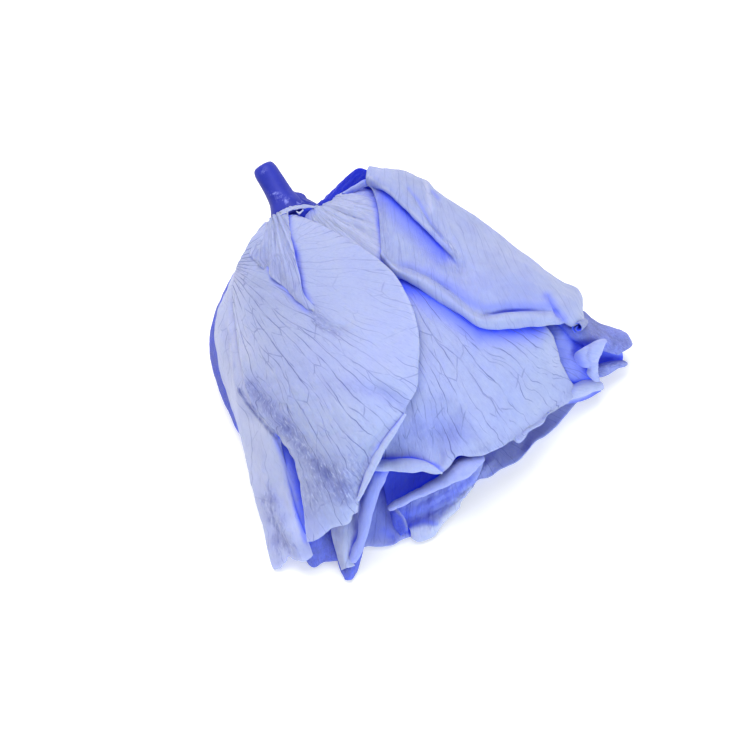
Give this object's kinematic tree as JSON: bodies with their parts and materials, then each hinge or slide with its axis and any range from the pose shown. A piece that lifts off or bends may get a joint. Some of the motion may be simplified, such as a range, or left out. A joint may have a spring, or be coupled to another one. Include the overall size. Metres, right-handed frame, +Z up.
{
  "type": "preserved rose",
  "caption": "Single preserved rose head lying on its side, with broad layered petals, a rolled mouth and a short stub of stem.",
  "frame": {"origin": "a point on the flat spot under the bloom that the flower rests on", "axes": "+Z up from the table, +X to the right and -Y to the front, where the mouth of the bloom faces front right"},
  "size_m": [0.0719, 0.0638, 0.0382],
  "materials": {
    "petal": "dyed periwinkle blue petals, soft and matte with fine dark veins",
    "stem": "dyed deep blue, smooth satin with dull scuffs"
  },
  "bodies": {
    "root": {"bloom": "petal", "stem": "stem"}
  },
  "joints": []
}
